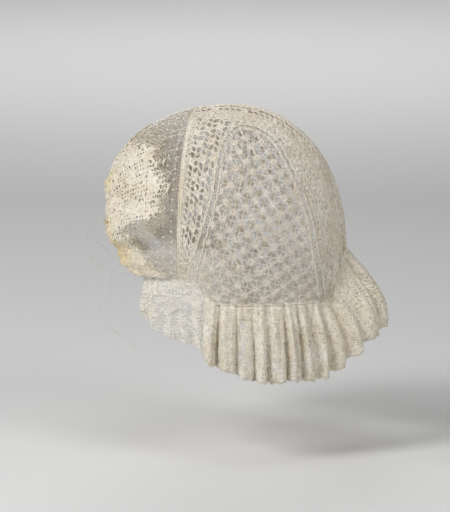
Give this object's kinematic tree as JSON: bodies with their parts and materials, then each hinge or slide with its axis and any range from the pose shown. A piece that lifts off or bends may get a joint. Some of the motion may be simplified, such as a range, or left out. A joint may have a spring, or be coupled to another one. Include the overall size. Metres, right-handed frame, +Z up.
{
  "type": "lace cap",
  "caption": "Close-fitting openwork lace cap with star-lace side panels, ladder insertions, a spotted net front edged with lace, and a gathered lace ruffle round the neck.",
  "frame": {"origin": "the inside of the crown's top, where it sits on a head", "axes": "+Z up, -Y the way the wearer looks, +X the wearer's left"},
  "size_m": [0.188, 0.2467, 0.2274],
  "materials": {
    "star_lace": "matt ivory linen thread",
    "ladder_lace": "matt ivory linen thread",
    "eyelet_lace": "matt ivory linen thread",
    "seam_thread": "matt cream cord",
    "spotted_net": "fine greyish white net",
    "face_lace": "soft cream lace with yellow stains",
    "cheek_lace": "soft cream lace",
    "lining_net": "fine white net",
    "ruffle_lace": "soft beige lace"
  },
  "bodies": {
    "root": {"side_panel_left": "star_lace", "side_panel_right": "star_lace", "ladder_left": "ladder_lace", "ladder_right": "ladder_lace", "side_border_left": "eyelet_lace", "side_border_right": "eyelet_lace", "centre_strip": "eyelet_lace", "front_seam": "seam_thread", "front_band": "spotted_net", "face_lace": "face_lace", "cheek_lace_left": "cheek_lace", "cheek_lace_right": "cheek_lace", "neck_lining": "lining_net", "neck_ruffle": "ruffle_lace"}
  },
  "joints": []
}
